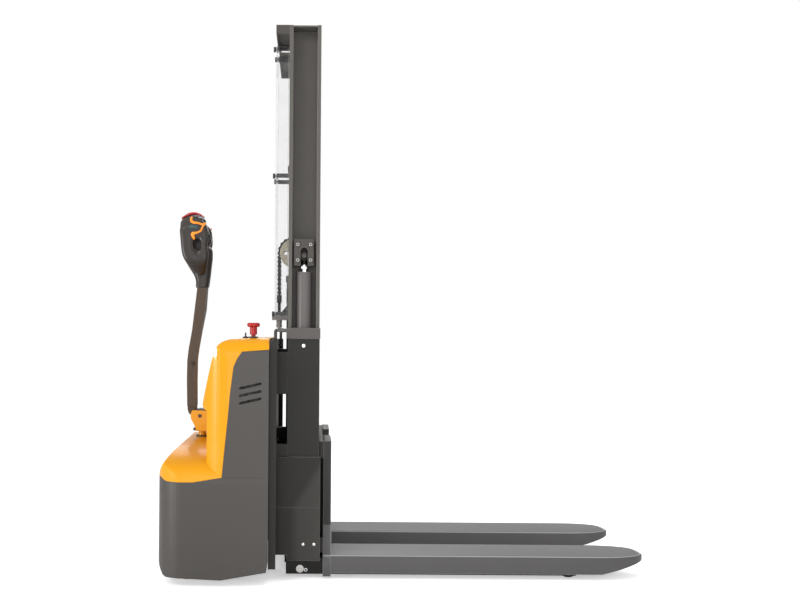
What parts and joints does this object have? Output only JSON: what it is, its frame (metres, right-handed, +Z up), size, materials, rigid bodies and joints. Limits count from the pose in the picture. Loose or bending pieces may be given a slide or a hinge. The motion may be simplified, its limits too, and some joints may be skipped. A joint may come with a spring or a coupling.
{
  "type": "initial lift stacker",
  "caption": "Pedestrian electric pallet stacker with single-stage mast, lifting support arms, nested forks and steering tiller.",
  "frame": {"origin": "middle of the overall length and width, on the floor under the wheels", "axes": "+X towards the fork tips, +Y to the truck's left seen from the tiller, +Z up"},
  "size_m": [1.767, 0.8, 1.996],
  "materials": {
    "frame_paint": "satin powder coat",
    "mast_paint": "satin powder coat",
    "fork_paint": "satin powder coat",
    "hood_grey": "fine grain",
    "hood_yellow": "gloss",
    "black_plastic": "fine grain",
    "battery_black": "smooth",
    "tank_grey": "satin",
    "head_grey": "soft grain",
    "arm_brown": "satin powder coat",
    "trim_orange": "gloss",
    "button_red": "gloss",
    "switch_teal": "smooth",
    "steel": "turned",
    "zinc_yellow": "zinc plated",
    "cast_grey": "as cast",
    "chrome_rod": "hard chrome",
    "tyre_black": "smooth polyurethane",
    "hose_black": "smooth",
    "chain_black": "oiled",
    "bolt_black": "blackened",
    "guard_clear": "clear polycarbonate"
  },
  "bodies": {
    "chassis": {"chassis_frame": "frame_paint", "guide_left": "frame_paint", "guide_right": "frame_paint", "hood_skirt": "hood_grey", "hood_cover": "hood_yellow", "battery_pack": "battery_black", "hydraulic_unit": "tank_grey", "controller": "black_plastic", "initial_cylinders": "mast_paint", "switch_bases": "black_plastic", "deck_collar": "black_plastic", "hydraulic_hoses": "hose_black", "guide_bolts": "bolt_black"},
    "steering": {"steering_head": "hood_yellow", "steering_bracket": "bolt_black", "drive_gearbox": "cast_grey", "traction_motor": "black_plastic"},
    "drive_wheel": {"drive_wheel_hub": "cast_grey", "drive_wheel_tyre": "tyre_black"},
    "tiller": {"tiller_arm": "arm_brown", "tiller_head": "head_grey", "tiller_trim": "trim_orange"},
    "thumb_wheels": {"travel_switch": "switch_teal"},
    "reverse_button": {"reverse_pad": "button_red"},
    "rocker": {"lift_rocker": "black_plastic"},
    "estop": {"estop_button": "button_red"},
    "key": {"ignition_key": "black_plastic"},
    "castor_left": {"castor_fork_left": "steel"},
    "castor_right": {"castor_fork_right": "steel"},
    "castor_roll_left": {"castor_wheel_left": "tyre_black"},
    "castor_roll_right": {"castor_wheel_right": "tyre_black"},
    "mast": {"mast_upright_left": "mast_paint", "mast_upright_right": "mast_paint", "mast_crossbeams": "mast_paint", "support_arm_left": "frame_paint", "support_arm_right": "frame_paint", "lift_cylinder": "frame_paint", "chain_anchor": "zinc_yellow", "guard_panel": "guard_clear", "guard_brackets": "bolt_black", "initial_brackets": "mast_paint", "initial_rods": "chrome_rod", "chain_anchor_run": "chain_black"},
    "crank": {"crank_shaft": "steel"},
    "rods": {"pull_rods": "steel"},
    "swing_left": {"swing_arm_left": "cast_grey"},
    "swing_right": {"swing_arm_right": "cast_grey"},
    "wheel_left": {"load_wheel_left": "tyre_black"},
    "wheel_right": {"load_wheel_right": "tyre_black"},
    "ram": {"lift_rod": "chrome_rod", "chain_wrap": "chain_black", "chain_carriage_run": "chain_black"},
    "sheave": {"pulley": "zinc_yellow"},
    "carriage": {"carriage_frame": "frame_paint", "fork_left": "fork_paint", "fork_right": "fork_paint"},
    "rollers_upper": {"carriage_rollers_upper": "steel"},
    "rollers_lower": {"carriage_rollers_lower": "steel"},
    "guides_upper": {"guide_rollers_upper": "steel"},
    "guides_lower": {"guide_rollers_lower": "steel"}
  },
  "joints": [
    {"name": "initial_lift", "type": "slide", "parent": "chassis", "child": "mast", "axis": [0, 0, 1], "range_m": [0, 0.1]},
    {"name": "lift", "type": "slide", "parent": "mast", "child": "ram", "axis": [0, 0, 1], "range_m": [0, 0.75], "deforming": ["chain_anchor_run"]},
    {"name": "carriage_slide", "type": "slide", "parent": "ram", "child": "carriage", "axis": [0, 0, 1], "range_m": [0, 0.75], "deforming": ["chain_carriage_run"]},
    {"name": "sheave_spin", "type": "hinge", "parent": "ram", "child": "sheave", "pos_m": [-0.4105, 0, 1.198], "axis": [0, 1, 0], "continuous": true},
    {"name": "rollers_upper_spin", "type": "hinge", "parent": "carriage", "child": "rollers_upper", "pos_m": [-0.3705, 0, 0.388], "axis": [0, 1, 0], "continuous": true},
    {"name": "rollers_lower_spin", "type": "hinge", "parent": "carriage", "child": "rollers_lower", "pos_m": [-0.3705, 0, 0.128], "axis": [0, 1, 0], "continuous": true},
    {"name": "guides_upper_spin", "type": "hinge", "parent": "chassis", "child": "guides_upper", "pos_m": [-0.3705, 0, 0.841], "axis": [0, 1, 0], "continuous": true},
    {"name": "guides_lower_spin", "type": "hinge", "parent": "chassis", "child": "guides_lower", "pos_m": [-0.3705, 0, 0.262], "axis": [0, 1, 0], "continuous": true},
    {"name": "crank_turn", "type": "hinge", "parent": "mast", "child": "crank", "pos_m": [-0.3785, 0, 0.034], "axis": [0, 1, 0], "range_deg": [-72.1, 0]},
    {"name": "rods_pull", "type": "slide", "parent": "mast", "child": "rods", "axis": [-1, 0, 0], "range_m": [0, 0.0241]},
    {"name": "swing_left_turn", "type": "hinge", "parent": "mast", "child": "swing_left", "pos_m": [0.44352, 0.196, 0.058], "axis": [0, 1, 0], "range_deg": [0, 41.1]},
    {"name": "swing_right_turn", "type": "hinge", "parent": "mast", "child": "swing_right", "pos_m": [0.44352, -0.196, 0.058], "axis": [0, 1, 0], "range_deg": [0, 41.1]},
    {"name": "load_wheel_left_roll", "type": "hinge", "parent": "swing_left", "child": "wheel_left", "pos_m": [0.6025, 0.196, 0.04], "axis": [0, 1, 0], "continuous": true},
    {"name": "load_wheel_right_roll", "type": "hinge", "parent": "swing_right", "child": "wheel_right", "pos_m": [0.6025, -0.196, 0.04], "axis": [0, 1, 0], "continuous": true},
    {"name": "steer", "type": "hinge", "parent": "chassis", "child": "steering", "pos_m": [-0.7665, 0, 0.25], "axis": [0, 0, 1], "range_deg": [-90, 90]},
    {"name": "drive_roll", "type": "hinge", "parent": "steering", "child": "drive_wheel", "pos_m": [-0.7665, 0, 0.1], "axis": [0, 1, 0], "continuous": true},
    {"name": "tiller_tilt", "type": "hinge", "parent": "steering", "child": "tiller", "pos_m": [-0.7725, 0, 0.562], "axis": [0, 1, 0], "range_deg": [-80, 0], "stiffness_Nm_per_rad": 24, "springref_deg": 20.05},
    {"name": "travel_turn", "type": "hinge", "parent": "tiller", "child": "thumb_wheels", "pos_m": [-0.7915, 0, 1.304], "axis": [0, 1, 0], "range_deg": [-25, 25], "stiffness_Nm_per_rad": 0.4},
    {"name": "reverse_press", "type": "slide", "parent": "tiller", "child": "reverse_button", "axis": [0, 0, -1], "range_m": [0, 0.004], "stiffness_N_per_m": 900, "springref_m": -0.004},
    {"name": "rocker_turn", "type": "hinge", "parent": "tiller", "child": "rocker", "pos_m": [-0.7525, 0, 1.256], "axis": [0, 1, 0], "range_deg": [-12, 12], "stiffness_Nm_per_rad": 0.3},
    {"name": "estop_press", "type": "slide", "parent": "chassis", "child": "estop", "axis": [0, 0, -1], "range_m": [0, 0.005]},
    {"name": "key_turn", "type": "hinge", "parent": "chassis", "child": "key", "pos_m": [-0.5785, -0.3, 0.87], "axis": [0, 0, 1], "range_deg": [0, 60]},
    {"name": "castor_left_swivel", "type": "hinge", "parent": "chassis", "child": "castor_left", "pos_m": [-0.7485, 0.285, 0.15], "axis": [0, 0, 1], "continuous": true},
    {"name": "castor_left_roll", "type": "hinge", "parent": "castor_left", "child": "castor_roll_left", "pos_m": [-0.7835, 0.285, 0.0625], "axis": [0, 1, 0], "continuous": true},
    {"name": "castor_right_swivel", "type": "hinge", "parent": "chassis", "child": "castor_right", "pos_m": [-0.7485, -0.285, 0.15], "axis": [0, 0, 1], "continuous": true},
    {"name": "castor_right_roll", "type": "hinge", "parent": "castor_right", "child": "castor_roll_right", "pos_m": [-0.7835, -0.285, 0.0625], "axis": [0, 1, 0], "continuous": true}
  ],
  "couplings": [
    {"joint": "carriage_slide", "follows": "lift", "ratio": 1},
    {"joint": "sheave_spin", "follows": "lift", "rad_per_m": -17.094},
    {"joint": "rollers_upper_spin", "follows": "lift", "rad_per_m": 45.977},
    {"joint": "rollers_lower_spin", "follows": "lift", "rad_per_m": -45.977},
    {"joint": "guides_upper_spin", "follows": "initial_lift", "rad_per_m": 22.989},
    {"joint": "guides_lower_spin", "follows": "initial_lift", "rad_per_m": -22.989},
    {"joint": "crank_turn", "follows": "initial_lift", "rad_per_m": -12.578},
    {"joint": "rods_pull", "follows": "initial_lift", "ratio": 0.24},
    {"joint": "swing_left_turn", "follows": "initial_lift", "rad_per_m": 7.1662},
    {"joint": "swing_right_turn", "follows": "initial_lift", "rad_per_m": 7.1662}
  ]
}
